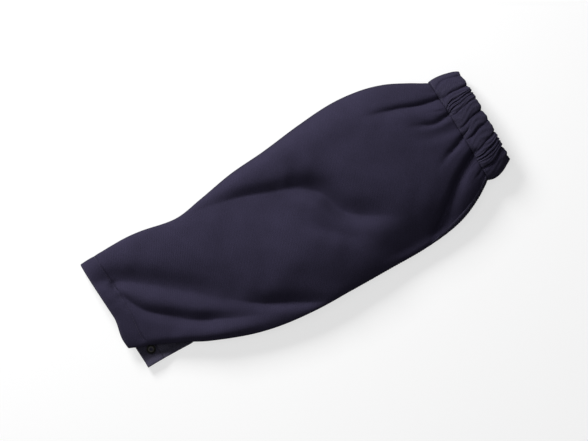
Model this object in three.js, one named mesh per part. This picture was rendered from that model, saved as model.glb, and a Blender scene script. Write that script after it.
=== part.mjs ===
// A cloth work sleeve that covers the arm from wrist to upper arm, lying down with its snap undone.
// It is one tapered tube of cotton twill. The upper end is gathered in an elastic casing. The cuff end
// is hemmed, and the side seam is left open there as a short slit that a snap closes. The side above
// lies puffed up, and its corner at the slit has rolled under, which bares a strip of the side below.
// Units are millimetres. The sleeve lies on z = 0. X runs from the cuff to the elastic end, and the
// seam and slit are on the -Y side. The origin is under the middle of the sleeve.
import * as THREE from "three";

// Lengths along the sleeve.
const sleeve_length = 537; // cuff edge to elastic edge, along the middle
const casing_depth = 38; // the gathered casing, from its stitch line to its edge
const hem_depth = 24; // the turned hem at the cuff
const slit_length = 88; // the open end of the side seam, from the cuff edge

// Widths as the sleeve lies flat, and its height where it puffs up most.
const cuff_width = 157;
const bicep_width = 213;
const elastic_width = 130;
const puff_height = 42;

// The cloth and how it is turned.
const cloth = 1.2; // one thickness of twill
const hem_wall = 2.4; // the hem, turned in twice and pressed
const casing_wall = 3.2; // two thicknesses of twill over the elastic
const facing_width = 9; // the turned edge along each side of the slit
const facing_wall = 0.8;
const seam_width = 10; // the felled side seam, from its joint to its second row of stitches
const seam_wall = 0.9;
const clearance = 0.3; // between pieces that touch

// The gathers round the elastic casing.
const gather_count = 28;
const gather_depth = 2.1;
const gather_lean = 0.55; // how far they run round it over the casing's depth, in gathers

// The rolls that the cloth makes as it lies.
const far_roll = 9; // how far the side away from the seam curves in towards the ground
const slit_strip = 8; // the strip of the side below that is bared beside its foot
const slit_curl = 4; // how far the strip's free edge curls up
const slit_curl_width = 10;
const slit_turn = 0.3; // the slit's place up the near side, from 0 at the ground to 1 at the outline
const corner_roll = 4.5; // radius of the corner that is rolled under at the slit
const corner_spare = 10; // cloth that the roll takes up
const corner_droop = 0.08; // fall of the rolled corner towards its edge

// How the ends are cut and lie: slopes across the sleeve, and the corner that reaches past the cuff.
const cuff_slope = -0.081;
const casing_slope = -0.05;
const edge_slope = -0.02;
const cuff_reach = 7;

// The snap.
const cap_radius = 7.5;
const cap_height = 2.1;
const socket_radius = 6.2;
const socket_bore = 2.3;
const socket_height = 2;
const stud_radius = 5;
const stud_post_radius = 2;
const stud_height = 2.8;
const snap_margin = 2; // from the cap's rim to the hem's stitches
const snap_from_slit = 19; // centre of the snap to the slit's edge

const body_length = sleeve_length - casing_depth;
const snap_from_edge = hem_depth - snap_margin - cap_radius;
const { clamp, lerp, smoothstep } = THREE.MathUtils;
const quarter = Math.PI / 2;

// The rows of a table as objects, from a first row that names its columns.
function table(names, ...rows) {
  return rows.map((row) => Object.fromEntries(names.map((name, i) => [name, row[i]])));
}

// How the sleeve lies at sections along it. along is a share of body_length. far, near and foot are
// shares of the width named in of: the outline on each side of the middle, and the edge of the part
// that lies on the ground. The rims and the crown are shares of puff_height: the height of the outline
// on each side, and of the top. seam is where the felled seam runs on the near side, from 0 in line
// with the slit to 1 at the outline.
const sections = table(
  ["along", "of",          "far", "near", "foot", "far_rim", "near_rim", "crown", "seam"],
  [0.0,     cuff_width,    0.5,   0.28,   0.45,   0.19,      0.31,       0.47,    0],
  [0.05,    cuff_width,    0.508, 0.345,  0.445,  0.19,      0.31,       0.5,     0],
  [0.13,    cuff_width,    0.515, 0.47,   0.446,  0.21,      0.31,       0.56,    0],
  [0.176,   cuff_width,    0.503, 0.545,  0.455,  0.22,      0.38,       0.6,     0],
  [0.27,    bicep_width,   0.335, 0.484,  0.4,    0.24,      0.44,       0.66,    0.05],
  [0.35,    bicep_width,   0.366, 0.526,  0.45,   0.25,      0.46,       0.72,    0.1],
  [0.45,    bicep_width,   0.412, 0.546,  0.475,  0.26,      0.5,        0.8,     0.2],
  [0.55,    bicep_width,   0.435, 0.545,  0.48,   0.28,      0.44,       0.88,    0.3],
  [0.66,    bicep_width,   0.471, 0.54,   0.475,  0.3,       0.34,       0.96,    0.4],
  [0.76,    bicep_width,   0.491, 0.536,  0.47,   0.31,      0.31,       1.0,     0.5],
  [0.84,    bicep_width,   0.476, 0.517,  0.45,   0.33,      0.33,       1.0,     0.8],
  [0.9,     bicep_width,   0.438, 0.483,  0.42,   0.35,      0.35,       0.96,    1],
  [0.955,   bicep_width,   0.376, 0.422,  0.37,   0.37,      0.37,       0.88,    1],
  [1.0,     elastic_width, 0.52,  0.577,  0.5,    0.38,      0.38,       0.79,    1],
);

// The same for the casing. along is a share of casing_depth.
const casing_sections = table(
  ["along", "of",          "far", "near", "foot", "far_rim", "near_rim", "crown"],
  [0.0,     elastic_width, 0.527, 0.585,  0.5,    0.38,      0.38,       0.79],
  [0.4,     elastic_width, 0.521, 0.582,  0.5,    0.38,      0.38,       0.8],
  [0.75,    elastic_width, 0.5,   0.54,   0.46,   0.37,      0.37,       0.76],
  [1.0,     elastic_width, 0.466, 0.492,  0.42,   0.35,      0.35,       0.7],
);

// The folds in the side above. Each runs away from the cuff along a curve through four places: x is a
// share of sleeve_length from the cuff, and y a share of bicep_width from the middle. rise is a share of
// puff_height, below zero for a valley. far and near are how wide the fold is on each side of its line,
// as shares of bicep_width, and widen is how many times as wide it is at its end. crease makes it sharp
// as it goes from 0 to 1. It grows and fades over these shares of its line.
const folds = table(
  [
    "name",                            "x0", "y0",  "x1", "y1",  "x2", "y2",  "x3", "y3",
    "rise", "far", "near", "widen", "crease", "grow", "fade",
  ],
  ["ridge along the far side",         0.3, 0.41,   0.45, 0.385, 0.62, 0.375, 0.86, 0.34,
    0.1,    0.09,  0.1,    1.3,     0,        0.4,    0.5],
  ["crease below it",                  0.24, 0.34,  0.38, 0.275, 0.48, 0.185, 0.58, 0.05,
    -0.26,  0.038, 0.12,   2.2,     0.4,      0.6,    0.35],
  ["hollow round the middle puff",     0.49, 0.16,  0.565, 0.03, 0.615, -0.12, 0.68, -0.34,
    -0.32,  0.1,   0.07,   1.2,     0.15,     0.45,   0.5],
  ["middle puff",                      0.28, 0,     0.39, -0.16, 0.5, -0.26,  0.62, -0.32,
    0.16,   0.22,  0.2,    1,       0,        0.5,    0.5],
  ["soft valley in the puff",          0.48, 0,     0.53, -0.13, 0.585, -0.24, 0.65, -0.36,
    -0.13,  0.07,  0.05,   1.3,     0,        0.4,    0.4],
  ["slope on the near side",           0.6, -0.46,  0.69, -0.48, 0.79, -0.47, 0.9, -0.4,
    -0.17,  0.15,  0.08,   1,       0,        0.4,    0.4],
  ["swell above that slope",           0.6, -0.1,   0.68, -0.14, 0.77, -0.15, 0.86, -0.12,
    0.05,   0.3,   0.14,   1,       0,        0.4,    0.5],
  ["long valley from the cuff",        -0.01, 0.26, 0.09, 0.11,  0.19, -0.09, 0.33, -0.37,
    -0.23,  0.072, 0.04,   2.2,     0.05,     0.3,    0.3],
  ["crease at its end",                0.24, -0.2,  0.32, -0.35, 0.39, -0.44, 0.48, -0.56,
    -0.2,   0.07,  0.045,  0.9,     0.4,      0.5,    0.4],
  ["crease from the hem",              0.03, 0.2,   0.045, 0.06, 0.085, -0.09, 0.18, -0.25,
    -0.15,  0.03,  0.03,   1.8,     0.5,      0.15,   0.4],
  ["valley after it",                  0.06, -0.03, 0.15, -0.225, 0.235, -0.335, 0.36, -0.46,
    -0.2,   0.06,  0.045,  1,       0.25,     0.45,   0.5],
  ["near ridge at the cuff",           0.01, -0.16, 0.11, -0.3,  0.21, -0.4,  0.37, -0.5,
    0.09,   0.06,  0.05,   1,       0,        0.4,    0.4],
  ["fold to the casing by the seam",   0.73, -0.55, 0.8, -0.42,  0.88, -0.255, 0.95, -0.155,
    -0.19,  0.036, 0.07,   0.7,     0.55,     0.4,    0.15],
  ["first fold to the casing",         0.73, 0.335, 0.82, 0.275, 0.88, 0.225, 0.945, 0.195,
    -0.15,  0.03,  0.042,  0.8,     0.55,     0.4,    0.15],
  ["second fold to the casing",        0.82, 0.15,  0.86, 0.11,  0.89, 0.085, 0.945, 0.1,
    -0.12,  0.036, 0.026,  0.6,     0.5,      0.5,    0.15],
  ["third fold to the casing",         0.83, -0.17, 0.88, -0.115, 0.92, -0.075, 0.96, -0.03,
    -0.12,  0.03,  0.024,  0.6,     0.6,      0.6,    0.15],
  ["soft hollow by the casing",        0.81, 0.08,  0.86, 0.03,  0.9, 0.01,   0.95, 0,
    -0.07,  0.065, 0.04,   0.7,     0,        0.5,    0.25],
);

// The value of one column of a table at a place along it, on a smooth curve through its rows.
function columnAt(table, name, along) {
  const value = (row) => (["far", "near", "foot"].includes(name) ? row[name] * row.of : row[name]);
  const last = table.length - 2;
  const k = clamp(table.findIndex((row) => row.along >= along) - 1, 0, last);
  const [a, b] = [table[k], table[k + 1]];
  const slope = (i) => {
    const [low, high] = [table[Math.max(i - 1, 0)], table[Math.min(i + 1, last + 1)]];
    return (value(high) - value(low)) / (high.along - low.along);
  };
  const step = b.along - a.along;
  const t = clamp((along - a.along) / step, 0, 1);
  return (
    value(a) * (1 + 2 * t) * (1 - t) ** 2 +
    slope(k) * step * t * (1 - t) ** 2 +
    value(b) * t * t * (3 - 2 * t) +
    slope(k + 1) * step * t * t * (t - 1)
  );
}

// Every size of the sleeve's cross-section at a place along a table.
function cutAt(table, along) {
  const names = ["far", "near", "foot", "far_rim", "near_rim", "crown"];
  const cut = Object.fromEntries(names.map((name) => [name, columnAt(table, name, along)]));
  for (const name of ["far_rim", "near_rim", "crown"]) cut[name] *= puff_height;
  return cut;
}

// Each fold's line as a curve on the ground plan.
for (const fold of folds) {
  const places = [0, 1, 2, 3].map(
    (n) => new THREE.Vector2(fold[`x${n}`] * sleeve_length, fold[`y${n}`] * bicep_width),
  );
  fold.line = new THREE.SplineCurve(places).getPoints(18);
}

// How far all the folds together lift the side above at a place on the ground plan. Across a fold the
// cloth follows a bell curve, or a sharper one where it is creased, with low shoulders beside it.
function foldRise(x, y) {
  const place = new THREE.Vector2(x, y);
  let rise = 0;
  for (const fold of folds) {
    const { line } = fold;
    let [nearest, where, spread] = [Infinity, 0, 0];
    for (let i = 0; i + 1 < line.length; i++) {
      const step = line[i + 1].clone().sub(line[i]);
      const off = place.clone().sub(line[i]);
      const t = clamp(off.dot(step) / step.lengthSq(), 0, 1);
      const beyond = step.cross(off) > 0;
      const distance = off.addScaledVector(step, -t).length();
      if (distance < nearest)
        [nearest, where, spread] = [distance, (i + t) / (line.length - 1), beyond ? fold.far : fold.near];
    }
    const r = nearest / (spread * bicep_width * lerp(1, fold.widen, where));
    const bell = Math.exp(-r * r) * (1 - 0.3 * r * r);
    const cusp = Math.exp(-1.5 * r) * (1 - 0.3 * r);
    const along = smoothstep(where, 0, fold.grow) * smoothstep(1 - where, 0, fold.fade);
    rise += fold.rise * puff_height * along * lerp(bell, cusp, fold.crease);
  }
  return rise;
}

// The way that the corner at the slit is rolled under: along the line from the outline at the cuff edge
// to the outline at the slit's end, with the normal pointing out.
const roll_line = new THREE.Vector2(
  slit_length,
  cutAt(sections, 0).near - cutAt(sections, slit_length / body_length).near,
).normalize();
const roll_out = new THREE.Vector2(roll_line.y, -roll_line.x);

// The snap's place, on the strip of the side below that the slit bares.
const slit_edge = cutAt(sections, 0).foot + slit_strip;
const snap_place = new THREE.Vector2(
  -cuff_slope * slit_edge + snap_from_edge,
  snap_from_slit - slit_edge,
);
const snap_lift = cap_height + clearance;

// The height of the middle of the cloth below: flat on the ground, raised by the snap's cap, and curled
// up along the slit's free edge.
function groundHeight(x, y) {
  const distance = Math.hypot(x - snap_place.x, y - snap_place.y);
  const raised = snap_lift * (1 - smoothstep(distance, cap_radius + 5, cap_radius + 25));
  const at_slit = 1 - smoothstep(x, 0.7 * slit_length, slit_length);
  const curled = slit_curl * smoothstep(-y, slit_edge - slit_curl_width, slit_edge) * at_slit;
  return cloth / 2 + raised + curled;
}

// The middle line of the cloth round the body, at a distance from the cuff edge. It starts at the slit's
// lower edge, runs under the sleeve to the far side, over the top, and down the near side to the slit's
// upper edge. Past the slit the two edges are the same place. steps gives the number of steps in each part.
const body_steps = { strip: 2, ground: 7, far: 3, top: 34, near: 5 };
function bodyLine(distance, steps = body_steps) {
  const cut = cutAt(sections, distance / body_length);
  const share = distance / body_length;
  const shift = (y, extra = 0) =>
    distance + (1 - share) * (cuff_slope * y + extra) + share * casing_slope * y;
  const open = smoothstep(slit_length - distance, 0, 0.3 * slit_length);
  const join_angle = slit_turn * quarter;
  const near = (angle) => [
    -lerp(cut.foot, cut.near, Math.sin(angle)),
    lerp(cloth / 2, cut.near_rim, 1 - Math.cos(angle)),
  ];
  const points = [];
  const add = (x, y, z) => points.push(new THREE.Vector3(x, y, z));

  for (let i = 0; i < steps.strip; i++) {
    const t = i / steps.strip;
    const [y, z] = near(join_angle * (1 - t));
    const flat_y = -(cut.foot + slit_strip * (1 - t));
    const at_y = lerp(y, flat_y, open);
    const x = shift(at_y);
    add(x, at_y, lerp(z, groundHeight(x, at_y), open));
  }
  for (let i = 0; i < steps.ground; i++) {
    const y = lerp(-cut.foot, cut.far - far_roll, (i / steps.ground) ** 1.5); // closer near the snap
    add(shift(y), y, groundHeight(shift(y), y));
  }
  for (let i = 0; i < steps.far; i++) {
    const angle = (quarter * i) / steps.far;
    const y = cut.far - far_roll * (1 - Math.sin(angle));
    add(shift(y), y, lerp(cloth / 2, cut.far_rim, 1 - Math.cos(angle)));
  }
  const reach = (y) =>
    -cuff_reach * Math.exp(-distance / (3 * hem_depth)) * smoothstep(-y, 0, 0.8 * cut.near);
  for (let i = 0; i < steps.top; i++) {
    const angle = (Math.PI * i) / steps.top;
    const side = Math.sign(Math.cos(angle)) * Math.abs(Math.cos(angle)) ** 0.85;
    const y = (cut.far - cut.near) / 2 + (side * (cut.far + cut.near)) / 2;
    const x = shift(y, reach(y));
    const rim = lerp(cut.near_rim, cut.far_rim, (1 + side) / 2);
    const arch = Math.sin(angle);
    add(x, y, lerp(rim, cut.crown, arch) + foldRise(x, y) * smoothstep(arch, 0, 0.55));
  }
  const rim = new THREE.Vector2(shift(-cut.near, reach(-cut.near)), -cut.near);
  const spare = cut.foot + slit_strip - cut.near + corner_spare;
  for (let i = 0; i <= steps.near; i++) {
    const t = i / steps.near;
    const [y, z] = near(lerp(quarter, join_angle, t));
    const flat = new THREE.Vector2(0, -t * spare);
    const wound = Math.max(flat.dot(roll_out), 0) / corner_roll;
    const inward = Math.max(wound - quarter, 0) * corner_roll;
    const turn = Math.min(quarter + wound, Math.PI);
    const rolled = rim
      .clone()
      .addScaledVector(roll_line, flat.dot(roll_line))
      .addScaledVector(roll_out, corner_roll * (Math.sin(turn) - 1) - inward);
    const rolled_z = cut.near_rim + corner_roll * Math.cos(turn) - corner_droop * inward;
    const slide = smoothstep(open, 0.3, 1); // the edge lifts before it slides in
    add(lerp(shift(y), rolled.x, slide), lerp(y, rolled.y, slide), lerp(z, rolled_z, open));
  }
  if (distance >= slit_length) points[points.length - 1].copy(points[0]);
  return points;
}

// The middle line of the casing, with its points where the gathers need them. The body's folds run a
// little way into it.
const gather_steps = 4;
const casing_columns = gather_count * gather_steps;
function casingLine(share) {
  const cut = cutAt(casing_sections, share);
  const ground = casing_wall / 2 + 0.3 * gather_depth;
  const x = (y) =>
    body_length + share * casing_depth + lerp(casing_slope, edge_slope, share) * y;
  const join_angle = slit_turn * quarter;
  const loop = [];
  const arc = (from, to, inner, outer, side, rim) => {
    for (let i = 0; i < 12; i++) {
      const angle = lerp(from, to, i / 12);
      const y = side * lerp(inner, outer, Math.sin(angle));
      loop.push(new THREE.Vector3(x(y), y, lerp(ground, rim, 1 - Math.cos(angle))));
    }
  };
  arc(join_angle, 0, cut.foot, cut.near, -1, cut.near_rim);
  for (let i = 0; i < 24; i++) {
    const y = lerp(-cut.foot, cut.far - far_roll, i / 24);
    loop.push(new THREE.Vector3(x(y), y, ground));
  }
  arc(0, quarter, cut.far - far_roll, cut.far, 1, cut.far_rim);
  for (let i = 0; i < 48; i++) {
    const angle = (Math.PI * i) / 48;
    const side = Math.sign(Math.cos(angle)) * Math.abs(Math.cos(angle)) ** 0.85;
    const y = (cut.far - cut.near) / 2 + (side * (cut.far + cut.near)) / 2;
    const rim = lerp(cut.near_rim, cut.far_rim, (1 + side) / 2);
    const arch = Math.sin(angle);
    const fold = foldRise(x(y), y) * smoothstep(arch, 0, 0.55) * (1 - smoothstep(share, 0, 0.6));
    loop.push(new THREE.Vector3(x(y), y, lerp(rim, cut.crown, arch) + fold));
  }
  arc(quarter, join_angle, cut.foot, cut.near, -1, cut.near_rim);
  loop.push(loop[0].clone());
  const length = lineLength(loop);
  const turns = Array.from({ length: casing_columns + 1 }, (_, j) => gatherTurn(j, share));
  return atDistances(
    loop,
    turns.map((turn) => length * (turn - Math.floor(turn))),
  );
}

// Where column j of the casing is, in turns round it: the gathers crowd together in some places and
// leave the cloth smooth in others, and they lean.
function gatherTurn(j, share) {
  const even = j / casing_columns;
  const cluster = 8 * Math.PI * (even - 0.61);
  const crowd = 0.07 * Math.sin(3 * cluster) - 0.95 * Math.sin(cluster);
  const lean = gather_lean * share * (1 + 0.2 * Math.sin(10 * Math.PI * even + 2));
  return even + (crowd - lean) / gather_count;
}

// How high column j stands on its gather, from -1 in the valleys: round ridges, uneven in height, with
// sharp valleys between them.
function gatherHeight(j) {
  const ridge = Math.abs(Math.sin((Math.PI * j) / gather_steps)) ** 0.7;
  const height = 1 + 0.3 * Math.sin((10 * Math.PI * j) / casing_columns + 0.7);
  return height * (2 * ridge - 1);
}

function lineLength(line) {
  return line.slice(1).reduce((sum, point, i) => sum + point.distanceTo(line[i]), 0);
}

// The places at given distances along a line of points.
function atDistances(line, distances) {
  return distances.map((wanted) => {
    let left = wanted;
    for (let i = 0; i + 1 < line.length; i++) {
      const step = line[i].distanceTo(line[i + 1]);
      if (left <= step || i + 2 === line.length)
        return line[i].clone().lerp(line[i + 1], step ? Math.min(left / step, 1) : 0);
      left -= step;
    }
    return line[0].clone();
  });
}

// The directions that point out of the cloth along one of its lines, square to the sleeve's length.
function outward(line, closed) {
  return line.map((_, j) => {
    const before = j ? line[j - 1] : closed ? line[line.length - 2] : line[0];
    const after = line[j + 1] ?? (closed ? line[1] : line[j]);
    return new THREE.Vector3(0, after.z - before.z, before.y - after.y).normalize();
  });
}

// A solid wall of cloth from lines across it, each { points, out, outer, inner }, where outer and inner
// are how far its two faces lie outside the line. From line closed_from on, the lines are closed loops.
function clothSolid(lines, closed_from = Infinity) {
  const columns = lines[0].points.length;
  const positions = [];
  for (const face of ["outer", "inner"])
    for (const line of lines)
      line.points.forEach((point, j) => {
        const offset = Array.isArray(line[face]) ? line[face][j] : line[face];
        positions.push(...point.clone().addScaledVector(line.out[j], offset).toArray());
      });
  const at = (face, i, j) => {
    const column = i >= closed_from && j === columns - 1 ? 0 : j;
    return (face * lines.length + i) * columns + column;
  };
  const indices = [];
  const quad = (a, b, c, d) => indices.push(a, b, c, a, c, d);
  for (let i = 0; i + 1 < lines.length; i++) {
    for (let j = 0; j + 1 < columns; j++) {
      quad(at(0, i, j), at(0, i, j + 1), at(0, i + 1, j + 1), at(0, i + 1, j));
      quad(at(1, i, j), at(1, i + 1, j), at(1, i + 1, j + 1), at(1, i, j + 1));
    }
    if (i < closed_from) {
      const last = columns - 1;
      quad(at(0, i, 0), at(0, i + 1, 0), at(1, i + 1, 0), at(1, i, 0));
      quad(at(0, i, last), at(1, i, last), at(1, i + 1, last), at(0, i + 1, last));
    }
  }
  const end = lines.length - 1;
  for (let j = 0; j + 1 < columns; j++) {
    quad(at(0, 0, j), at(1, 0, j), at(1, 0, j + 1), at(0, 0, j + 1));
    quad(at(0, end, j), at(0, end, j + 1), at(1, end, j + 1), at(1, end, j));
  }
  const geometry = new THREE.BufferGeometry();
  geometry.setAttribute("position", new THREE.Float32BufferAttribute(positions, 3));
  geometry.setIndex(indices);
  geometry.computeVertexNormals();
  return geometry;
}

const spaced = (from, to, count) =>
  Array.from({ length: count + 1 }, (_, i) => lerp(from, to, i / count));

const twill = new THREE.MeshStandardMaterial({ color: 0x302d3e, roughness: 0.92, metalness: 0 });
const turned_twill = new THREE.MeshStandardMaterial({ color: 0x383543, roughness: 0.92, metalness: 0 });
const snap_metal = new THREE.MeshStandardMaterial({ color: 0x55544e, roughness: 0.38, metalness: 0.9 });

const sleeve = new THREE.Group();
function addPiece(name, geometry, material) {
  const mesh = new THREE.Mesh(geometry, material);
  mesh.name = name;
  sleeve.add(mesh);
  return mesh;
}

// The twill tube, from the hem's stitches to the casing's, with the slit in its cuff end.
const slit_rows = spaced(hem_depth + clearance, slit_length, 6);
const body_rows = [
  ...slit_rows,
  ...spaced(slit_length, 0.84 * body_length, 20).slice(1),
  ...spaced(0.84 * body_length, body_length - clearance / 2, 8).slice(1),
];
const bodyWall = (distance, outer, inner) => {
  const points = bodyLine(distance);
  return { points, out: outward(points, distance >= slit_length), outer, inner };
};
addPiece(
  "sleeve_body",
  clothSolid(
    body_rows.map((distance) => bodyWall(distance, cloth / 2, -cloth / 2)),
    slit_rows.length - 1,
  ),
  twill,
);

// The hem at the cuff, level with the body outside and thicker inside.
addPiece(
  "cuff_hem",
  clothSolid(spaced(0, hem_depth, 3).map((distance) => bodyWall(distance, cloth / 2, cloth / 2 - hem_wall))),
  turned_twill,
);

// The gathered casing. Its outside follows the gathers, its inside follows them more weakly, and its edge
// is rounded. Where it lies on the ground, the gathers are pressed flat.
const casing_rows = [
  { share: clearance / 2 / casing_depth, depth: 0.4, wall: 0.8 },
  { share: 0.22, depth: 1, wall: 1 },
  { share: 0.6, depth: 1, wall: 1 },
  { share: 0.95, depth: 1, wall: 0.9 },
  { share: 1, depth: 0.8, wall: 0.4 },
];
addPiece(
  "elastic_casing",
  clothSolid(
    casing_rows.map(({ share, depth, wall }) => {
      const points = casingLine(share);
      const out = outward(points, true);
      const half_wall = (wall * casing_wall) / 2;
      const waves = points.map((_, j) => depth * 0.77 * gather_depth * gatherHeight(j));
      const outer = points.map((point, j) => {
        const to_ground = out[j].z < -0.5 ? -point.z / out[j].z : Infinity;
        return Math.min(half_wall + waves[j], to_ground);
      });
      return { points, out, outer, inner: waves.map((wave) => 0.45 * wave - half_wall) };
    }),
    0,
  ),
  twill,
);

// A flat band of cloth along the body, of a width, with its faces outer and inner outside the body's
// middle line. It starts startAt(path) along that line, which is followed from its end where from_end
// is true.
const on_cloth = cloth / 2 + clearance;
function band({ distances, steps, width, outer, inner, from_end, startAt = () => 0 }) {
  return clothSolid(
    distances.map((distance) => {
      const line = bodyLine(distance, steps);
      const path = from_end ? line.reverse() : line;
      const start = startAt(path, distance);
      const points = atDistances(path, spaced(start, start + width, 4));
      if (from_end) points.reverse();
      return { points, out: outward(points, false), outer, inner };
    }),
  );
}

// The felled side seam, on the outside from the slit to the casing. It climbs to the outline.
const over_folds = on_cloth + 0.1; // it lies clear of the folds that reach it
const fine_steps = { strip: 8, ground: 24, far: 4, top: 68, near: 25 };
const seam_rows = body_rows.filter((distance) => distance > slit_length + seam_width / 2);
addPiece(
  "side_seam",
  band({
    distances: seam_rows,
    steps: fine_steps,
    width: seam_width,
    outer: over_folds + seam_wall,
    inner: over_folds,
    from_end: true,
    startAt: (path, distance) =>
      columnAt(sections, "seam", distance / body_length) *
      lineLength(path.slice(0, fine_steps.near + 1)),
  }),
  turned_twill,
);

// The turned edges of the slit, on the inside of the cloth, between the hem and the slit's end.
const facing = {
  distances: slit_rows.slice(0, -1),
  steps: body_steps,
  width: facing_width,
  outer: -on_cloth,
  inner: -on_cloth - facing_wall,
};
addPiece("slit_facing_under", band({ ...facing, from_end: false }), turned_twill);
addPiece("slit_facing_over", band({ ...facing, from_end: true }), turned_twill);

// A turned piece from its outline of [radius, height] points.
const turned = (outline) =>
  new THREE.LatheGeometry(
    outline.map(([radius, height]) => new THREE.Vector2(radius, height)),
    20,
  );

// The snap's cap, face down under the strip, with its dome to the ground.
const cap = addPiece(
  "snap_cap",
  turned([
    [0, 0],
    [0.6 * cap_radius, 0],
    [0.85 * cap_radius, 0.12 * cap_height],
    [cap_radius, 0.4 * cap_height],
    [cap_radius, 0.75 * cap_height],
    [0.9 * cap_radius, cap_height],
    [0, cap_height],
  ]),
  snap_metal,
);
cap.position.set(snap_place.x, snap_place.y, 0);

// The snap's socket, a ring on the inside of the hem above the cap.
const socket = addPiece(
  "snap_socket",
  turned([
    [socket_bore, 0],
    [socket_radius, 0],
    [socket_radius, 0.35 * socket_height],
    [0.9 * socket_radius, 0.6 * socket_height],
    [0.62 * socket_radius, 0.7 * socket_height],
    [0.56 * socket_radius, socket_height],
    [1.15 * socket_bore, socket_height],
    [socket_bore, 0.85 * socket_height],
    [socket_bore, 0],
  ]),
  snap_metal,
);
const hem_top = snap_lift + hem_wall;
socket.position.set(snap_place.x, snap_place.y, hem_top + clearance);

// The snap's stud, one plain piece on the outside of the rolled corner, where the socket reaches it.
const stud = addPiece(
  "snap_stud",
  turned([
    [0, 0],
    [stud_radius, 0],
    [stud_radius, 0.25 * stud_height],
    [stud_post_radius, 0.4 * stud_height],
    [0.8 * stud_post_radius, 0.6 * stud_height],
    [stud_post_radius, 0.85 * stud_height],
    [0.7 * stud_post_radius, stud_height],
    [0, stud_height],
  ]),
  snap_metal,
);
const corner = bodyLine(snap_from_edge, fine_steps).reverse();
const [stud_before, stud_place, stud_after] = atDistances(corner, [
  snap_from_slit - 1,
  snap_from_slit,
  snap_from_slit + 1,
]);
const stud_out = new THREE.Vector3(
  0,
  stud_before.z - stud_after.z,
  stud_after.y - stud_before.y,
).normalize();
stud.quaternion.setFromUnitVectors(new THREE.Vector3(0, 1, 0), stud_out);
stud.position.copy(stud_place).addScaledVector(stud_out, on_cloth);

// LatheGeometry turns about Y, so the cap and socket are stood up.
for (const piece of [cap, socket]) piece.rotation.x = quarter;

sleeve.position.x = -sleeve_length / 2;
export default sleeve;
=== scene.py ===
# A cloth work sleeve for the arm, lying puffed up with its snap undone: a tapered tube of navy twill,
# gathered in an elastic casing at the upper arm, and hemmed and slit at the cuff.
import math

import bpy
import numpy as np
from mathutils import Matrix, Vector


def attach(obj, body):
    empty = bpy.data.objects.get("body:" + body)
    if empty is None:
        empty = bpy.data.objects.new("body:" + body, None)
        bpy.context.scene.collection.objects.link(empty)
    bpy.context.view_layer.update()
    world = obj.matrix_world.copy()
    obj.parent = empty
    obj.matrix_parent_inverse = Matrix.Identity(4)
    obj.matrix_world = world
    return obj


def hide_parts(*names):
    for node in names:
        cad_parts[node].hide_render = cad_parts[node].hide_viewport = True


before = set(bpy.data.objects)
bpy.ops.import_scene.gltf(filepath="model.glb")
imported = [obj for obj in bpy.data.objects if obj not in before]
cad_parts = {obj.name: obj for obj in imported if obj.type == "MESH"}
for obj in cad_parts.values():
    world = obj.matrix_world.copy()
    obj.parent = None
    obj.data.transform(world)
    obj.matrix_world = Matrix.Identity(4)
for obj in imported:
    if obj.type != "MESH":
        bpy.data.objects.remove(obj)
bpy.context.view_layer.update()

# The view and the light
# The camera looks straight down, turned so that the sleeve runs from lower left to upper right. The
# floor is pale, and one soft light from the upper left of the view outweighs the rest.
mm = 0.001
scene = bpy.context.scene
scene.view_settings.view_transform = "Standard"

view_place = (-7.7 * mm, -3.1 * mm)
view_turn = math.radians(-28.75)
view_width = 751.7 * mm  # across the picture, at the height of the sleeve's outline
outline_height = 12 * mm


def add_object(name, data):
    """A new object in the scene, at the origin."""
    made = bpy.data.objects.new(name, data)
    scene.collection.objects.link(made)
    return made


camera_data = bpy.data.cameras.new("camera")
camera_data.lens = 100
camera = add_object("camera", camera_data)
camera.location = (*view_place, outline_height + view_width * camera_data.lens / camera_data.sensor_width)
camera.rotation_euler = (0, 0, view_turn)
scene.camera = camera


def add(tree, kind, inputs=(), **settings):
    """A new node of a tree, with its settings. inputs gives its sockets values or other nodes' outputs."""
    node = tree.nodes.new("ShaderNode" + kind)
    for name, value in settings.items():
        setattr(node, name, value)
    for name, value in dict(inputs).items():
        if isinstance(value, bpy.types.NodeSocket):
            tree.links.new(value, node.inputs[name])
        else:
            node.inputs[name].default_value = value
    return node


def new_material(name):
    """An empty material, its node tree, and its output node."""
    material = bpy.data.materials.new(name)
    material.use_nodes = True
    tree = material.node_tree
    tree.nodes.clear()
    return material, tree, add(tree, "OutputMaterial")


# The floor is white to the eye and grey to the light that it throws back, as a large studio floor is.
floor_half = 3
floor_below = 0.3 * mm
floor_colour, floor_glow = (0.4, 0.4, 0.4, 1), 0.64
floor_mesh = bpy.data.meshes.new("floor")
corners = [(x * floor_half, y * floor_half, -floor_below) for x, y in ((-1, -1), (1, -1), (1, 1), (-1, 1))]
floor_mesh.from_pydata(corners, [], [(0, 1, 2, 3)])
floor = add_object("floor", floor_mesh)
paper, tree, output = new_material("pale_paper")
seen = add(tree, "LightPath").outputs["Is Camera Ray"]
strength = add(tree, "Math", {0: seen, 1: floor_glow}, operation="MULTIPLY").outputs[0]
diffuse = add(tree, "BsdfDiffuse", {"Color": floor_colour})
glow = add(tree, "Emission", {"Color": (1, 1, 1, 1), "Strength": strength})
shared = add(tree, "AddShader", {0: diffuse.outputs[0], 1: glow.outputs[0]})
tree.links.new(shared.outputs[0], output.inputs["Surface"])
floor_mesh.materials.append(paper)


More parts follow.
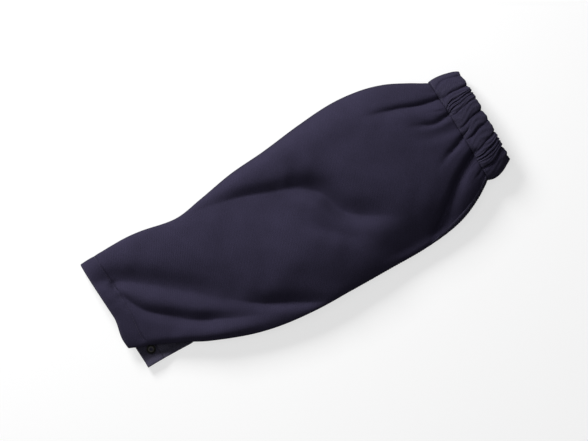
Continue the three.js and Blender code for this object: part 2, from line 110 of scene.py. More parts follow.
def soft_light(name, azimuth, elevation, distance, size, power):
    """A square light that faces the sleeve. azimuth turns from +X to +Y, elevation up from the floor."""
    data = bpy.data.lights.new(name, "AREA")
    data.shape = "SQUARE"
    data.size = size
    data.energy = power
    light = add_object(name, data)
    turn, rise = math.radians(azimuth), math.radians(elevation)
    towards = Vector((math.cos(turn) * math.cos(rise), math.sin(turn) * math.cos(rise), math.sin(rise)))
    light.location = distance * towards
    light.rotation_mode = "QUATERNION"
    light.rotation_quaternion = towards.to_track_quat("Z", "Y")
    light.visible_camera = False


soft_light("key", azimuth=97, elevation=29, distance=1.8, size=0.6, power=46)
soft_light("top", azimuth=120, elevation=80, distance=2.4, size=1.6, power=8)
soft_light("fill", azimuth=205, elevation=38, distance=2.2, size=0.8, power=2)
world = bpy.data.worlds.new("studio")
world.use_nodes = True
sky = world.node_tree.nodes["Background"].inputs
sky["Color"].default_value = (0.95, 0.97, 1, 1)
sky["Strength"].default_value = 0.1
scene.world = world

# The sleeve's body
# One tube of cotton twill, cut to a taper and joined at the side seam, which is left open at the cuff as
# a slit. It lies with its lower side flat. Its upper side is puffed up and folded, its corner at the slit
# has rolled under, and its wide end is drawn in to the casing. Lengths are in mm.
sleeve_length = 537  # from the cuff's edge to the elastic edge
casing_depth = 38
hem_depth = 24
slit_length = 88
body_length = sleeve_length - casing_depth
cut_width = 430  # of the body's and the casing's cloth, laid flat
cuff_width, bicep_width, elastic_width = 157, 213, 130
puff_height = 42
cloth = 1.2  # one thickness of twill


def mix(a, b, t):
    """From a to b as t goes from 0 to 1."""
    return a + (b - a) * t


def smoothstep(value, low, high):
    """0 below low and 1 above high, with a smooth rise between: t * t * (3 - 2 * t)."""
    t = np.clip((value - low) / (high - low), 0, 1)
    return t * t * (3 - 2 * t)


# How the sleeve lies at sections along it. along is a share of body_length. far, near and foot are shares
# of the width named in of: the outline on each side of the middle, and the edge of the part on the ground.
# The rims and the crown are shares of puff_height: the heights of the outline and of the top. seam is
# where the side seam runs on the near side, from 0 in line with the slit to 1 at the outline.
def table(names, *rows):
    """A table as a dict from each column's name to its numbers."""
    return dict(zip(names.split(), np.array(rows, float).T))


sections = table(
    "along of far near foot far_rim near_rim crown seam",
    (0.0, cuff_width, 0.5, 0.28, 0.45, 0.19, 0.31, 0.47, 0),
    (0.05, cuff_width, 0.508, 0.345, 0.445, 0.19, 0.31, 0.5, 0),
    (0.13, cuff_width, 0.515, 0.47, 0.446, 0.21, 0.31, 0.56, 0),
    (0.176, cuff_width, 0.503, 0.545, 0.455, 0.22, 0.38, 0.6, 0),
    (0.27, bicep_width, 0.335, 0.484, 0.4, 0.24, 0.44, 0.66, 0.05),
    (0.35, bicep_width, 0.366, 0.526, 0.45, 0.25, 0.46, 0.72, 0.1),
    (0.45, bicep_width, 0.412, 0.546, 0.475, 0.26, 0.5, 0.8, 0.2),
    (0.55, bicep_width, 0.435, 0.545, 0.48, 0.28, 0.44, 0.88, 0.3),
    (0.66, bicep_width, 0.471, 0.54, 0.475, 0.3, 0.34, 0.96, 0.4),
    (0.76, bicep_width, 0.491, 0.536, 0.47, 0.31, 0.31, 1.0, 0.5),
    (0.84, bicep_width, 0.476, 0.517, 0.45, 0.33, 0.33, 1.0, 0.8),
    (0.9, bicep_width, 0.438, 0.483, 0.42, 0.35, 0.35, 0.96, 1),
    (0.955, bicep_width, 0.376, 0.422, 0.37, 0.37, 0.37, 0.88, 1),
    (1.0, elastic_width, 0.52, 0.577, 0.5, 0.38, 0.38, 0.79, 1),
)


def value_at(rows, name, along):
    """A column at places along its table: a cubic Hermite curve through the rows, whose slope at a row is
    that of the straight line between the rows beside it. Shares of a width or of the puff become mm."""
    values = rows[name]
    if name in ("far", "near", "foot"):
        values = values * rows["of"]
    if name in ("far_rim", "near_rim", "crown"):
        values = values * puff_height
    places = rows["along"]
    last = len(places) - 1
    low = np.maximum(np.arange(last + 1) - 1, 0)
    high = np.minimum(np.arange(last + 1) + 1, last)
    slope = (values[high] - values[low]) / (places[high] - places[low])
    k = np.clip(np.searchsorted(places, along) - 1, 0, last - 1)
    step = places[k + 1] - places[k]
    t = np.clip((along - places[k]) / step, 0, 1)
    return (
        values[k] * (1 + 2 * t) * (1 - t) ** 2
        + slope[k] * step * t * (1 - t) ** 2
        + values[k + 1] * t * t * (3 - 2 * t)
        + slope[k + 1] * step * t * t * (t - 1)
    )


# The folds in the upper side, each along a curve through four places, which runs away from the cuff. x is
# a share of sleeve_length from the cuff and y a share of bicep_width from the middle. rise is a share of
# puff_height, below zero for a valley. far and near are how wide the fold is on each side of its line, as
# shares of bicep_width, and widen is how many times as wide it is at its end. crease makes it sharp as it
# goes from 0 to 1. It grows and fades over these shares of its line.
folds = table(
    "x0 y0 x1 y1 x2 y2 x3 y3 rise far near widen crease grow fade",
    # the long ridge on the far side, the crease below it, and the hollow where that turns round the puff
    (0.3, 0.41, 0.45, 0.385, 0.62, 0.375, 0.86, 0.34, 0.1, 0.09, 0.1, 1.3, 0, 0.4, 0.5),
    (0.24, 0.34, 0.38, 0.275, 0.485, 0.19, 0.59, 0.1, -0.26, 0.038, 0.12, 2.2, 0.4, 0.6, 0.35),
    (0.5, 0.2, 0.57, 0.06, 0.61, -0.14, 0.73, -0.31, -0.4, 0.1, 0.06, 1.2, 0.22, 0.35, 0.4),
    # the puff in the middle, the soft valley beside it, and the slope on the near side of the wide end
    (0.28, 0, 0.39, -0.16, 0.5, -0.26, 0.62, -0.32, 0.16, 0.22, 0.2, 1, 0, 0.5, 0.5),
    (0.48, 0.0, 0.53, -0.13, 0.585, -0.24, 0.65, -0.36, -0.09, 0.07, 0.05, 1.3, 0, 0.4, 0.4),
    (0.6, -0.46, 0.69, -0.48, 0.79, -0.47, 0.9, -0.4, -0.17, 0.15, 0.08, 1, 0, 0.4, 0.4),
    (0.6, -0.1, 0.68, -0.14, 0.77, -0.15, 0.86, -0.12, 0.05, 0.3, 0.14, 1, 0, 0.4, 0.5),
    # the folds that run from the cuff: two valleys with a ridge between, and the ridge at the near side
    (-0.01, 0.26, 0.09, 0.11, 0.19, -0.09, 0.33, -0.37, -0.23, 0.072, 0.04, 2.2, 0.05, 0.22, 0.3),
    (0.24, -0.2, 0.32, -0.35, 0.39, -0.44, 0.48, -0.56, -0.2, 0.07, 0.045, 0.9, 0.4, 0.5, 0.4),
    (0.03, 0.2, 0.045, 0.06, 0.085, -0.09, 0.18, -0.25, -0.15, 0.03, 0.03, 1.8, 0.5, 0.15, 0.4),
    (0.06, -0.03, 0.15, -0.225, 0.235, -0.335, 0.36, -0.46, -0.2, 0.06, 0.045, 1, 0.25, 0.45, 0.5),
    (0.01, -0.16, 0.11, -0.3, 0.21, -0.4, 0.37, -0.5, 0.09, 0.06, 0.05, 1, 0, 0.4, 0.4),
    # the folds that the casing draws in
    (0.73, -0.55, 0.8, -0.42, 0.88, -0.255, 0.95, -0.155, -0.19, 0.036, 0.07, 0.7, 0.55, 0.4, 0.15),
    (0.73, 0.335, 0.82, 0.275, 0.88, 0.225, 0.945, 0.195, -0.15, 0.03, 0.042, 0.8, 0.55, 0.4, 0.15),
    (0.82, 0.15, 0.86, 0.11, 0.89, 0.085, 0.945, 0.1, -0.12, 0.036, 0.026, 0.6, 0.5, 0.5, 0.15),
    (0.83, -0.17, 0.88, -0.115, 0.92, -0.075, 0.96, -0.03, -0.12, 0.03, 0.024, 0.6, 0.6, 0.6, 0.15),
    (0.81, 0.08, 0.86, 0.03, 0.9, 0.01, 0.95, 0, -0.07, 0.065, 0.04, 0.7, 0, 0.5, 0.25),
)


def curve_through(places, count):
    """Places on the Catmull-Rom curve through some places, evenly spaced in its parameter."""
    points = np.array([places[0], *places, places[-1]], float)
    where = np.linspace(0, len(places) - 1, count + 1)
    k = np.minimum(where.astype(int), len(places) - 2)
    t = (where - k)[:, None]
    before, a, b, after = points[k], points[k + 1], points[k + 2], points[k + 3]
    leave, arrive = (b - before) / 2, (after - a) / 2
    cubic = 2 * a - 2 * b + leave + arrive
    square = 3 * b - 3 * a - 2 * leave - arrive
    return cubic * t**3 + square * t**2 + leave * t + a


def picked(values, places):
    """From the last axis of an array, the values at some places."""
    return np.take_along_axis(values, places[..., None], -1)[..., 0]


wave_height = 0.5
fold_shoulder = 0.3


def fold_rise(x, y):
    """How far all the folds lift the upper side at places on the ground plan. Across a fold the cloth
    follows a bell curve, or a sharper one where it is creased, with low shoulders beside it. Along its
    line the fold grows and fades smoothly. Slow waves of less than a millimetre lie over it all."""
    place = np.stack([x, y], -1)[..., None, :]
    rise = wave_height * np.sin(x / 11 + 1.3 * np.sin(y / 17)) * np.sin(y / 13 + 1.1 * np.sin(x / 19))
    for row in zip(*folds.values()):
        line = curve_through(np.array(row[:8]).reshape(4, 2) * (sleeve_length, bicep_width), count=24)
        share, far, near, widen, crease, grow, fade = row[8:]
        step = line[1:] - line[:-1]
        off = place - line[:-1]
        t = np.clip((off * step).sum(-1) / (step * step).sum(-1), 0, 1)
        apart = np.linalg.norm(off - t[..., None] * step, axis=-1)
        nearest = apart.argmin(-1)
        where = (nearest + picked(t, nearest)) / len(step)
        beyond = step[:, 0] * off[..., 1] - step[:, 1] * off[..., 0] > 0
        spread = np.where(picked(beyond, nearest), far, near)
        r = picked(apart, nearest) / (spread * bicep_width * mix(1, widen, where))
        bell = np.exp(-r * r) * (1 - fold_shoulder * r * r)
        cusp = np.exp(-1.5 * r) * (1 - fold_shoulder * r)
        along = smoothstep(where, 0, grow) * smoothstep(1 - where, 0, fade)
        rise = rise + share * puff_height * along * mix(bell, cusp, crease)
    return rise


# The strip below the slit carries the snap's cap and curls up along its edge. The corner above rolls
# under. The slopes are how far the cuff, the casing's stitches and the elastic edge lean for each mm
# across the sleeve.
cap_radius, cap_height = 7.5, 2.1
snap_margin = 2  # from the cap's rim to the back of the hem
snap_from_edge = hem_depth - snap_margin - cap_radius
snap_from_slit = 19  # from the strip's free edge to the snap's middle
raised_flat, raised_slope = 5, 20  # round the cap, the level cloth and the slope down from it
slit_strip = 8  # how far the strip is bared beside its foot
slit_curl, slit_curl_width = 4, 10
clearance = 0.3  # between pieces that touch
cuff_slope, casing_slope, edge_slope = -0.081, -0.05, -0.02
slit_edge = value_at(sections, "foot", 0) + slit_strip
snap_place = np.array([-cuff_slope * slit_edge + snap_from_edge, snap_from_slit - slit_edge])


def ground_height(x, y):
    """Height of the middle of the cloth below: on the ground, raised round the snap's cap, and curled up
    along the slit's free edge."""
    distance = np.hypot(x - snap_place[0], y - snap_place[1])
    level = cap_radius + raised_flat
    raised = (cap_height + clearance) * (1 - smoothstep(distance, level, level + raised_slope))
    curled = slit_curl * smoothstep(-y, slit_edge - slit_curl_width, slit_edge)
    curled *= 1 - smoothstep(x, 0.7 * slit_length, slit_length)
    return cloth / 2 + raised + curled


far_roll = 9  # how far the far side curves in towards the ground
join_angle = 0.3 * np.pi / 2  # the slit's place up the near side, from 0 at the ground
corner_roll, corner_spare = 4.5, 10  # radius of the roll, and the cloth that it takes up
corner_droop = 0.08  # fall of the rolled corner towards its edge
cuff_reach = 7  # how far the upper cloth reaches out at the near end of the cuff
roll_line = np.array(
    [slit_length, value_at(sections, "near", 0) - value_at(sections, "near", slit_length / body_length)]
)
roll_line /= np.linalg.norm(roll_line)


def sizes_at(rows, share):
    """The outline, the foot, the rims and the crown at shares along a table."""
    return [value_at(rows, name, share) for name in ("far", "near", "foot", "far_rim", "near_rim", "crown")]


def upper_arch(steps, far, near, far_rim, near_rim, crown):
    """The arch of the upper side from its far rim to its near one: a power of an angle's cosine across
    it and its sine up it. Gives y, z and how much of the folds each place takes."""
    arch_power = 0.85
    angle = np.pi * np.arange(steps) / steps
    across = np.sign(np.cos(angle)) * np.abs(np.cos(angle)) ** arch_power
    y = (far - near) / 2 + across * (far + near) / 2
    z = mix(mix(near_rim, far_rim, (1 + across) / 2), crown, np.sin(angle))
    return y, z, smoothstep(np.sin(angle), 0, 0.55)


def unit(vectors):
    """Vectors brought to a length of 1."""
    return vectors / np.linalg.norm(vectors, axis=-1, keepdims=True)


def lying_line(distance, steps):
    """Middle of the cloth, as rows at distances from the cuff edge by columns round it. A row starts at the
    slit's lower edge, runs flat to the far side, turns up in a quarter of an ellipse, arches over the top
    with the folds, and comes down the near side in another quarter to the slit's upper edge. Before the
    slit's end the two edges part: one lies flat, and the other is rolled under round a slanting line."""
    d = np.asarray(distance, float)[:, None]
    share = d / body_length
    far, near, foot, far_rim, near_rim, crown = sizes_at(sections, share)
    opened = smoothstep(slit_length - d, 0, 0.3 * slit_length)

    def along(y, extra=0):
        return d + (1 - share) * (cuff_slope * y + extra) + share * casing_slope * y

    def near_side(angle):
        return -mix(foot, near, np.sin(angle)), mix(cloth / 2, near_rim, 1 - np.cos(angle))

    def reach(y):
        return -cuff_reach * np.exp(-d / (3 * hem_depth)) * smoothstep(-y, 0, 0.8 * near)

    t = np.arange(steps["strip"]) / steps["strip"]
    y, z = near_side(join_angle * (1 - t))
    y = mix(y, -(foot + slit_strip * (1 - t)), opened)
    x = along(y)
    strip = np.stack([x, y, mix(z, ground_height(x, y), opened)], -1)

    t = np.arange(steps["ground"]) / steps["ground"]
    y = mix(-foot, far - far_roll, t**1.2)
    ground = np.stack([along(y), y, ground_height(along(y), y)], -1)

    angle = np.pi / 2 * np.arange(steps["far"]) / steps["far"]
    y = far - far_roll * (1 - np.sin(angle))
    side = np.stack([along(y), y, mix(cloth / 2, far_rim, 1 - np.cos(angle))], -1)

    y, z, folded = upper_arch(steps["top"], far, near, far_rim, near_rim, crown)
    x = along(y, reach(y))
    top = np.stack([x, y, z + fold_rise(x, y) * folded], -1)

    t = np.arange(steps["near"] + 1) / steps["near"]
    y, z = near_side(mix(np.pi / 2, join_angle, t))
    flat = -t * (foot + slit_strip - near + corner_spare)
    wound = np.maximum(-roll_line[0] * flat, 0) / corner_roll
    turned = np.minimum(np.pi / 2 + wound, np.pi)
    inward = np.maximum(wound - np.pi / 2, 0) * corner_roll
    curl = corner_roll * (np.sin(turned) - 1) - inward
    rolled_x = along(-near, reach(-near)) + roll_line[0] * flat * roll_line[1] + roll_line[1] * curl
    rolled_y = -near + roll_line[1] * flat * roll_line[1] - roll_line[0] * curl
    rolled_z = near_rim + corner_roll * np.cos(turned) - corner_droop * inward
    slide = smoothstep(opened, 0.3, 1)
    near_x, near_y = mix(along(y), rolled_x, slide), mix(y, rolled_y, slide)
    turned_down = np.stack([near_x, near_y, mix(z, rolled_z, opened)], -1)

    line = np.concatenate([strip, ground, side, top, turned_down], 1)
    closed = d[:, 0] >= slit_length
    line[closed, -1] = line[closed, 0]
    return line


# The gathers round the elastic. They crowd together in some places and leave the cloth smooth in others,
# lean, and come and go along the casing. Round the sleeve, a gather rises slowly and falls steeply.
gather_count = 28
gather_lean = 0.55  # how far they run round it over the casing's depth, in gathers


def gather_turn(even, share):
    """Where a gather that would be at even, in turns round the sleeve, is at a share of the casing's
    depth: crowded in four places, leaning and wobbling, each by sines of even."""
    cluster = 8 * np.pi * (even - 0.61)
    crowd = 0.07 * np.sin(3 * cluster) - 0.95 * np.sin(cluster) + 0.03 * np.sin(26 * np.pi * even + 1)
    lean = gather_lean * share * (1 + 0.2 * np.sin(10 * np.pi * even + 2))
    wobble = 0.12 * np.sin(5 * share + 6 * np.pi * even) * np.sin(np.pi * np.clip(share, 0, 1))
    return even + (crowd + wobble - lean) / gather_count


def gather_height(even, share, slow=0.26, steep=0.13):
    """Height on the gathers, from -1 in a deep crease to 1: each crease falls off on its two sides as
    exponentials, slow and steep in gathers, and its depth varies with its number and along the casing."""
    number = np.floor(gather_count * even + 1e-9)
    t = gather_count * even - number

    def depth(number):
        number = number % gather_count
        return 0.66 + 0.34 * np.sin(2.4 * number + 1.5 + 2.6 * share * np.sin(1.7 * number))

    creases = depth(number) * np.exp(-t / slow) + depth(number + 1) * np.exp(-(1 - t) / steep)
    half = 0.3 * np.exp(-np.abs(t - 0.45) / 0.08) * np.sin(3.1 * number + 4 * share)
    fine = 0.12 * np.sin(5 * np.pi * gather_count * even + 3 * np.sin(6 * share + 10 * np.pi * even))
    return 1 - 2 * creases - np.abs(half) + fine


def arc_lengths(line):
    """Distance along each row of points from its first point."""
    steps = np.linalg.norm(np.diff(line, axis=-2), axis=-1)
    return np.concatenate([np.zeros(steps.shape[:-1] + (1,)), np.cumsum(steps, -1)], -1)


def at_lengths(row, length, wanted):
    """A row's numbers where its length is as wanted, by straight lines between its points."""
    return np.stack([np.interp(wanted, length, column) for column in row.T], -1)


def body_line(distance, steps):
    """The lying line with the gathers that the casing draws into it. They are highest a little before the
    casing's stitches and die out along the sleeve, each after a length of its own."""
    line = lying_line(distance, steps)
    even = np.linspace(0, 1, gather_count * 64 + 1)
    length = arc_lengths(line)
    gather = np.interp(length / length[:, -1:], gather_turn(even, 0), even)
    back = (body_length - np.asarray(distance, float))[:, None]
    own_reach = 9 + 5 * np.sin(14 * np.pi * gather + 1)
    height = (0.5 + 0.8 * smoothstep(back, 0, 8)) * np.exp(-np.maximum(back - 6, 0) / own_reach)
    out = unit(np.cross(np.gradient(line, axis=1), (1, 0, 0)))
    lifted = smoothstep(line[..., 2], cloth / 2 + 1, 9)
    wave = height * gather_height(gather, 0, slow=0.3, steep=0.16)
    line += out * (wave * lifted)[..., None]
    closed = np.asarray(distance) >= slit_length
    line[closed, -1] = line[closed, 0]
    return line


def body_surface(distance, steps):
    """Points of the body's cloth and the directions out of it, from rows just before and after each row."""
    distance = np.asarray(distance, float)
    beside = 0.4
    before, here, after = (body_line(distance + step, steps) for step in (-beside, 0, beside))
    round_it = np.gradient(here, axis=1)
    closed = distance >= slit_length
    round_it[closed, 0] = round_it[closed, -1] = here[closed, 1] - here[closed, -2]
    return here, unit(np.cross(round_it, after - before))


def new_mesh(name, points, faces):
    """A smooth mesh from points in mm from the cuff."""
    mesh = bpy.data.meshes.new(name)
    mesh.from_pydata((points - (sleeve_length / 2, 0, 0)) * mm, [], faces)
    mesh.shade_smooth()
    return mesh


def grid_piece(name, points, uv, wear_and_painted_light=0, round_columns=False, round_rows=False, merge_from=None):
    """A mesh piece from rows by columns of points in mm from the cuff. uv gives each point's place on the
    flat cloth. Closed columns or rows join up, and the ends of a closed strip are filled. From row
    merge_from on, the last column is the first."""
    rows, columns = points.shape[:2]
    index = np.arange(rows * columns).reshape(rows, columns)
    merged = index.copy()
    if merge_from is not None:
        merged[merge_from:, -1] = merged[merge_from:, 0]
    i, j = np.arange(rows), np.arange(columns)
    i_next = np.roll(i, -1) if round_rows else i[1:]
    j_next = np.roll(j, -1) if round_columns else j[1:]
    i, j = i[: len(i_next)], j[: len(j_next)]
    corners = [(i, j), (i, j_next), (i_next, j_next), (i_next, j)]
    quads = np.stack([index[np.ix_(a, b)] for a, b in corners], -1).reshape(-1, 4)
    ends = [index[0, ::-1], index[-1]] if round_columns and not round_rows else []
    used, number = np.unique(merged, return_inverse=True)
    faces = number.reshape(-1)[quads].tolist() + [end.tolist() for end in ends]
    mesh = new_mesh(name, points.reshape(-1, 3)[used], faces)
    corner_uv = uv.reshape(-1, 2)[np.concatenate([quads.reshape(-1), *ends])] * mm
    mesh.uv_layers.new(name="cloth").data.foreach_set("uv", corner_uv.ravel())
    # Each point's share of a paler colour, for rubbed cloth and for painted light on shaded cloth.
    point_wear_and_painted_light = np.broadcast_to(wear_and_painted_light, (rows, columns)).reshape(-1)[used].astype(np.float32)
    mesh.attributes.new("wear_and_painted_light", "FLOAT", "POINT").data.foreach_set("value", point_wear_and_painted_light)
    return add_object(name, mesh)


def flat_places(round_it, along):
    """Places on the flat cloth, from distances round the sleeve and along it."""
    return np.stack(np.broadcast_arrays(round_it, along), -1)


hem_overlap = 1.5  # the body's cloth over the back of the hem
body_steps = {"strip": 6, "ground": 38, "far": 8, "top": 120, "near": 20}
slit_rows = np.linspace(hem_depth - hem_overlap, slit_length, 30)
body_rows = np.concatenate([slit_rows, np.linspace(slit_length, body_length, 188)[1:]])
body_points, _ = body_surface(body_rows, body_steps)
crown_column = body_steps["strip"] + body_steps["ground"] + body_steps["far"] + body_steps["top"] // 2
from_slit = arc_lengths(body_points)
from_crown = from_slit - from_slit[:, crown_column : crown_column + 1]
body_uv = flat_places(from_crown, body_rows[:, None])
before_slit_end = 1 - smoothstep(body_rows, 0.6 * slit_length, slit_length)[:, None]
# The strip below the slit is made paler: partly as the cloth's paler inside, partly as painted light that
# lifts the shadow of the rolled corner over it.
strip_wear_and_painted_light = 0.9 * (1 - smoothstep(from_slit, 18, 34)) * before_slit_end
body = grid_piece("twill_body", body_points, body_uv, wear_and_painted_light=strip_wear_and_painted_light, merge_from=len(slit_rows) - 1)
wall = body.modifiers.new("wall", "SOLIDIFY")
wall.thickness = cloth * mm
wall.offset = 0


def calc(tree, operation, *values):
    """The result of a Math node that is fed with values or other nodes' outputs."""
    return add(tree, "Math", dict(enumerate(values)), operation=operation).outputs[0]


def map_range(tree, value, low, high, to_low, to_high, **settings):
    """The result of a Map Range node, which turns low into to_low and high into to_high."""
    numbers = dict(enumerate((value, low, high, to_low, to_high)))
    return add(tree, "MapRange", numbers, **settings).outputs[0]


def shaded(tree, colour, tone):
    """A colour times a tone."""
    return add(tree, "VectorMath", {0: colour, "Scale": tone}, operation="SCALE").outputs[0]


def noise(tree, place, scale, detail, roughness):
    """The value of a Noise Texture node."""
    inputs = {"Vector": place, "Scale": scale, "Detail": detail, "Roughness": roughness}
    return add(tree, "TexNoise", inputs).outputs[0]


def principled(tree, output, inputs):
    """Gives a material a Principled surface with these inputs."""
    shader = add(tree, "BsdfPrincipled", inputs)
    tree.links.new(shader.outputs[0], output.inputs["Surface"])


def new_group(name, inputs, outputs):
    """A shader node group, its input node and its output node, with sockets of the given kinds."""
    group = bpy.data.node_groups.new(name, "ShaderNodeTree")
    for way, sockets in (("INPUT", inputs), ("OUTPUT", outputs)):
        for socket, kind in sockets.items():
            group.interface.new_socket(socket, in_out=way, socket_type="NodeSocket" + kind)
    return group, group.nodes.new("NodeGroupInput"), group.nodes.new("NodeGroupOutput")


def give(group, result, **values):
    """The group, with its outputs joined to these values."""
    for name, value in values.items():
        group.links.new(value, result.inputs[name])
    return group


def make_steep_twill():
    """The weave's height over flat cloth. A yarn floats over three of the yarns that it crosses and under
    the fourth, one step further on than the yarn beside it, so that the floats form slanting ribs."""
    inputs = {"Cloth": "Vector", "Yarn": "Float", "Crossing": "Float"}
    group, given, result = new_group("steep_twill", inputs, {"Height": "Float", "Rib": "Float"})
    place = add(group, "SeparateXYZ", {0: given.outputs["Cloth"]})
    yarns = calc(group, "DIVIDE", place.outputs["Y"], given.outputs["Yarn"])
    crossings = calc(group, "DIVIDE", place.outputs["X"], given.outputs["Crossing"])
    stagger = calc(group, "ADD", crossings, calc(group, "FLOOR", yarns))
    float_share = calc(group, "FRACT", calc(group, "DIVIDE", stagger, 4))
    along = calc(group, "PINGPONG", float_share, 0.5)
    over = map_range(group, along, 0.06, 0.2, 0.1, 1, interpolation_type="SMOOTHSTEP")
    across = calc(group, "SINE", calc(group, "MULTIPLY", calc(group, "FRACT", yarns), math.pi))
    height = calc(group, "MULTIPLY", over, across)
    slant = calc(group, "MULTIPLY", calc(group, "ADD", crossings, yarns), math.pi / 2)
    rib = calc(group, "MULTIPLY_ADD", calc(group, "SINE", slant), 0.5, 0.5)
    return give(group, result, Height=height, Rib=rib)


def make_cloth_tone_and_painted_light():
    """Dyed cloth's colour and roughness. Slow patches and single fibres vary it, painted shade darkens the
    hollows between the yarns, and it goes paler where the cloth is rubbed and where painted light brightens
    shaded cloth."""
    inputs = {"Cloth": "Vector", "Weave": "Float", "PaintedLightAndWear": "Float", "Dyed": "Color", "Paler": "Color"}
    outputs = {"Color": "Color", "Roughness": "Float", "Fuzz": "Float"}
    group, given, result = new_group("cloth_tone_and_painted_light", inputs, outputs)
    flat = given.outputs["Cloth"]
    patches = noise(group, flat, scale=28, detail=3, roughness=0.55)
    fibres = noise(group, flat, scale=750, detail=3, roughness=0.7)
    slow = map_range(group, patches, 0.3, 0.7, 0.9, 1.1)
    fine = map_range(group, fibres, 0.3, 0.7, 0.7, 1.3)
    # Painted shade: the low places of the weave are darker.
    deep = map_range(group, given.outputs["Weave"], 0, 1, 0.72, 1.12)
    tone = calc(group, "MULTIPLY", calc(group, "MULTIPLY", slow, fine), deep)
    # The paler colour stands for rubbed cloth and also for painted light on shaded cloth.
    paler_share = calc(group, "MULTIPLY", given.outputs["PaintedLightAndWear"], calc(group, "MULTIPLY", fibres, 1.6))
    paler_share = add(group, "Clamp", {0: paler_share}).outputs[0]
    paler_mix = add(group, "MixRGB", {0: paler_share, 1: given.outputs["Dyed"], 2: given.outputs["Paler"]})
    rough = map_range(group, fibres, 0.3, 0.7, 0.84, 0.98)
    return give(group, result, Color=shaded(group, paler_mix.outputs[0], tone), Roughness=rough, Fuzz=fibres)


steep_twill, cloth_tone_and_painted_light = make_steep_twill(), make_cloth_tone_and_painted_light()
yarn_pitch, crossing_pitch = 0.55 * mm, 1.18 * mm
weave_depth = 0.13 * mm
navy_dye, paler_navy = (0.0285, 0.0245, 0.05), (0.085, 0.08, 0.115)


def twill_material(name, dyed, paler):
    """Twill in a colour, with its weave as relief. It turns towards a paler colour where its cloth is
    rubbed and where painted light brightens shaded cloth. Painted shade darkens it where it turns away from
    the eye, which draws a dark outline."""
    material, tree, output = new_material(name)
    flat = add(tree, "UVMap", uv_map="cloth").outputs[0]
    inputs = {"Cloth": flat, "Yarn": yarn_pitch, "Crossing": crossing_pitch}
    weave = add(tree, "Group", inputs, node_tree=steep_twill)
    wear_and_painted_light = add(tree, "Attribute", attribute_name="wear_and_painted_light").outputs["Fac"]
    inputs = {"Cloth": flat, "Weave": weave.outputs["Height"], "PaintedLightAndWear": wear_and_painted_light}
    inputs.update({"Dyed": (*dyed, 1), "Paler": (*paler, 1)})
    finish = add(tree, "Group", inputs, node_tree=cloth_tone_and_painted_light)
    ribs = calc(tree, "MULTIPLY_ADD", weave.outputs["Rib"], 0.8, weave.outputs["Height"])
    relief = calc(tree, "MULTIPLY_ADD", finish.outputs["Fuzz"], 0.6, ribs)
    bump = add(tree, "Bump", {"Strength": 1, "Distance": weave_depth, "Height": relief})
    # Painted shade: the cloth darkens where it turns away from the eye, which gives the outline a dark
    # edge.
    turned_away = add(tree, "LayerWeight", {"Blend": 0.5}).outputs["Facing"]
    painted_edge_shade = map_range(tree, turned_away, 0.45, 0.95, 1, 0.5)
    inputs = {
        "Base Color": shaded(tree, finish.outputs["Color"], painted_edge_shade),
        "Roughness": finish.outputs["Roughness"],
        "Normal": bump.outputs[0],
        "Specular IOR Level": 0.15,
    }
    principled(tree, output, inputs)
    return material


navy_twill = twill_material("navy_twill", navy_dye, paler_navy)


def finish_cloth(piece, material, node):
    """Gives a cloth piece its material and its place in the part, and hides the imported part that it
    stands for.
    """
    piece.data.materials.append(material)
    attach(piece, "root")
    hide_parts(node)


finish_cloth(body, navy_twill, "sleeve_body")

# The cuff hem
# The sleeve's own cloth, turned in twice and stitched down, so it is level with the body outside and
# thicker inside. Its edge is a round fold, and its stitches pull small puckers.
hem_wall = 2.4
hem_stitches_at = 21  # from the cuff's edge
turned_navy = twill_material("turned_navy_twill", navy_dye, paler_navy)


def rounded_section(length, top, bottom, edge, back):
    """A closed outline of a flat wall: along its outside from the back to the edge, round the edge in half
    an ellipse, back along its inside, and round the back. Gives distances from the edge and offsets."""
    steps = 14
    turn = np.linspace(0, np.pi, 9)[1:-1]
    middle, swung = (top + bottom) / 2, (top - bottom) / 2 * np.cos(turn)
    outside = np.linspace(length - back, edge, steps)
    distance = [outside, edge - edge * np.sin(turn), outside[::-1], length - back + back * np.sin(turn)]
    offset = [np.full(steps, top), middle + swung, np.full(steps, bottom), middle - swung]
    return np.concatenate(distance), np.concatenate(offset)


distance, offset = rounded_section(hem_depth, cloth / 2, cloth / 2 - hem_wall, edge=1.1, back=0.3)
hem_steps = {"strip": 8, "ground": 44, "far": 8, "top": 110, "near": 26}
hem_points, hem_out = body_surface(distance, hem_steps)
hem_round = arc_lengths(hem_points)
hem_pucker = 0.5 * np.sin(hem_round / 2.7 + 1.5 * np.sin(hem_round / 17)) * np.sin(hem_round / 23 + 1) ** 2
stitched = np.exp(-(((distance - hem_stitches_at) / 2.2) ** 2))[:, None]
swell = (0.3 * np.sin(np.pi * np.clip(distance / hem_stitches_at, 0, 1)))[:, None] - 0.2 * stitched
outside = (offset > 0)[:, None]
body_starts = hem_depth - hem_overlap
tucked = 0.04 * smoothstep(distance, body_starts - 1, body_starts)[:, None]
lift = offset[:, None] + np.where(outside, swell + hem_pucker * (0.3 + stitched) - tucked, 0)
hem_points = hem_points + hem_out * lift[..., None]
hem_points[..., 2] = np.maximum(hem_points[..., 2], 0)
hem_uv = flat_places(hem_round, distance[:, None]).transpose(1, 0, 2)
# Outside, the fold at the cuff's edge is paler from wear. Inside, the cloth is paler all round, partly as
# the twill's reverse face and partly as painted light where it shows on the shaded strip below the slit.
hem_wear_and_painted_light = np.where(outside, 0.5 * np.exp(-distance / 1.3)[:, None], 0.55)
hem_points = hem_points.transpose(1, 0, 2)
hem = grid_piece("stitched_hem", hem_points, hem_uv, wear_and_painted_light=hem_wear_and_painted_light.T, round_columns=True)
finish_cloth(hem, turned_navy, "cuff_hem")

